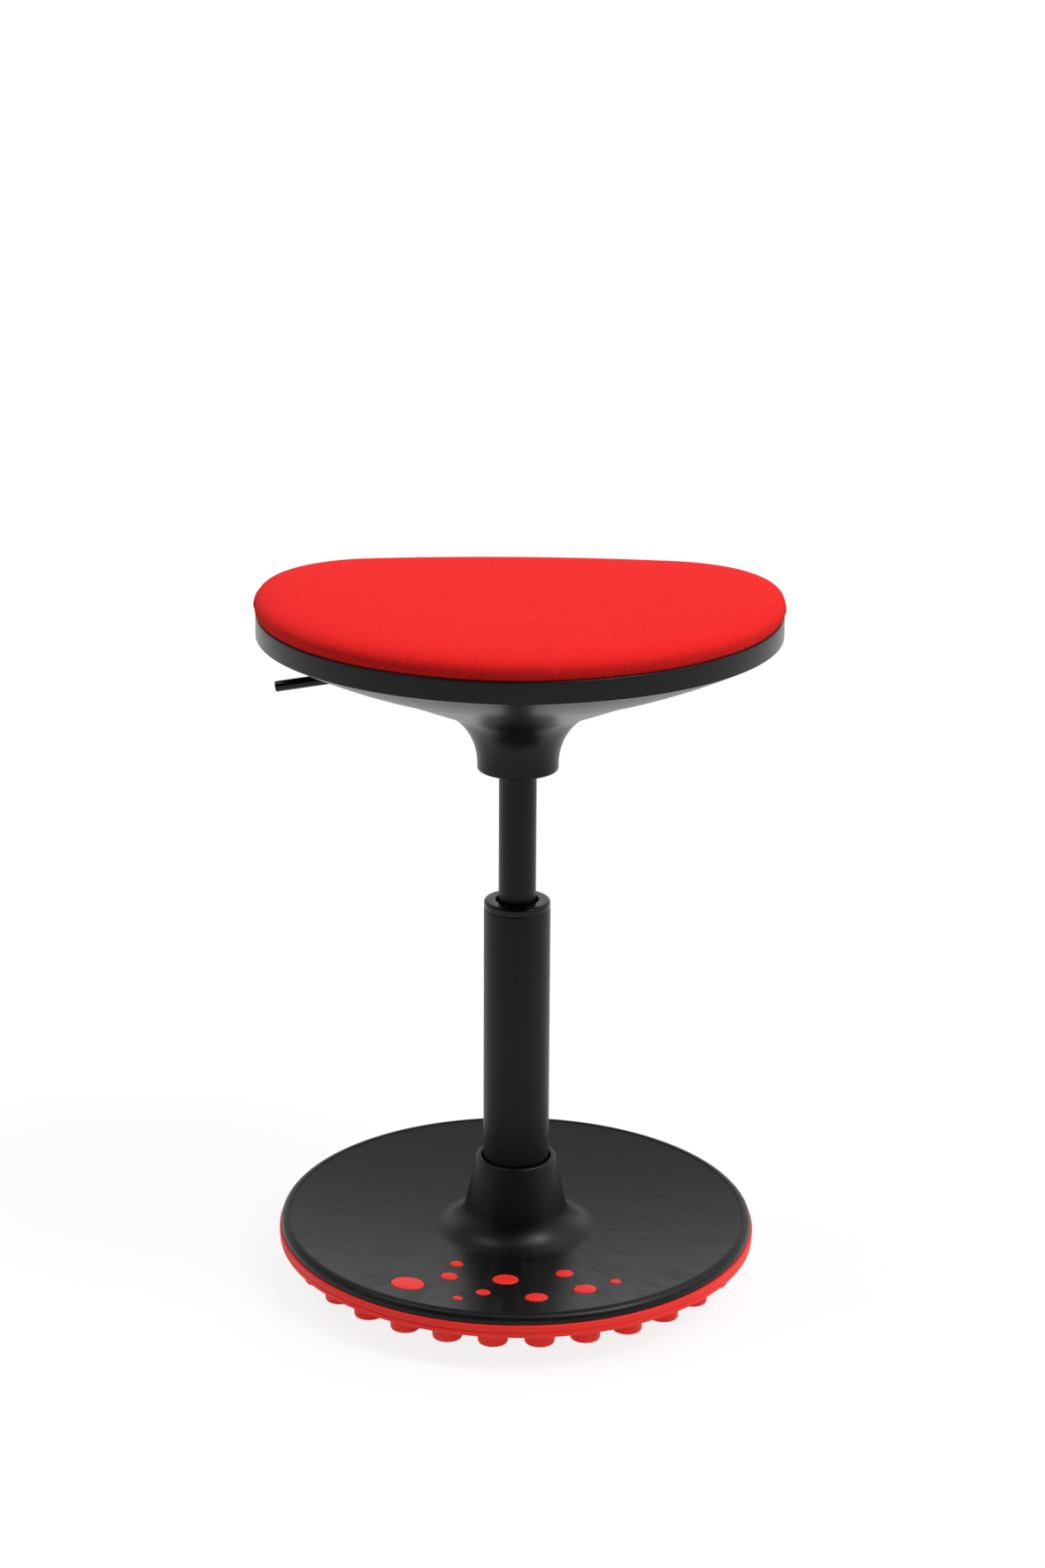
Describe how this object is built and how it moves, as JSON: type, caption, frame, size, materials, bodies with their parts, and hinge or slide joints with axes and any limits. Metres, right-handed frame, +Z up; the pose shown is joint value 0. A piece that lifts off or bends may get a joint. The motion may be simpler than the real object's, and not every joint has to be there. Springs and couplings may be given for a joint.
{
  "type": "office stool",
  "caption": "Active-sitting office stool: rocking round base with a knobbed red sole, black gas-lift column, shield-shaped seat with a red fabric pad and a release lever.",
  "frame": {"origin": "on the floor, where the column axis meets the flat middle of the sole", "axes": "+Z up along the column, -Y towards the viewer of the picture, +X to the right in it"},
  "size_m": [0.391, 0.364, 0.5332],
  "materials": {
    "black_plastic": "fine-grained black moulding with a soft sheen",
    "red_rubber": "matt red rubber",
    "steel": "zinc-plated or ground steel",
    "black_paint": "satin black paint on steel",
    "black_satin": "satin black gas spring",
    "black_gloss": "glossy black moulding",
    "black_rubber": "black rubber",
    "alloy": "turned aluminium",
    "brass": "turned brass",
    "plywood": "plain plywood",
    "red_fabric": "woven red upholstery",
    "foam": "cut foam"
  },
  "bodies": {
    "base": {"rubber_sole": "red_rubber", "base_dish": "black_plastic", "hub_socket": "steel", "column_tube": "black_paint", "guide_bush": "black_gloss", "bearing_lower_race": "steel"},
    "spindle": {"bearing_balls": "steel", "bearing_upper_race": "steel", "rubber_buffer": "black_rubber", "base_washer": "steel", "retaining_clip": "steel", "piston_rod": "steel", "piston": "alloy", "piston_seal": "black_rubber"},
    "seat": {"gas_cylinder": "black_satin", "rod_gland": "alloy", "valve_body": "brass", "taper_socket": "steel", "seat_plate": "steel", "lever_bracket": "steel", "pivot_pin": "steel", "plate_screws": "steel", "seat_shell": "black_plastic", "seat_board": "plywood", "tee_nuts": "steel", "board_screws": "steel", "seat_cover": "red_fabric", "seat_foam": "foam"},
    "lever": {"release_lever": "black_paint"},
    "pin": {"release_pin": "steel"}
  },
  "joints": [
    {"name": "swivel", "type": "hinge", "parent": "base", "child": "spindle", "pos_m": [0, 0, 0.025], "axis": [0, 0, 1], "continuous": true},
    {"name": "height", "type": "slide", "parent": "spindle", "child": "seat", "axis": [0, 0, 1], "range_m": [-0.098, 0.042]},
    {"name": "release", "type": "hinge", "parent": "seat", "child": "lever", "pos_m": [-0.03799, 0.0008, 0.48465], "axis": [0.0209, 0.9998, 0], "range_deg": [0, 6], "stiffness_Nm_per_rad": 1},
    {"name": "valve", "type": "slide", "parent": "seat", "child": "pin", "axis": [0, 0, -1], "range_m": [0, 0.004]}
  ],
  "couplings": [
    {"joint": "valve", "follows": "release", "m_per_rad": 0.038}
  ]
}
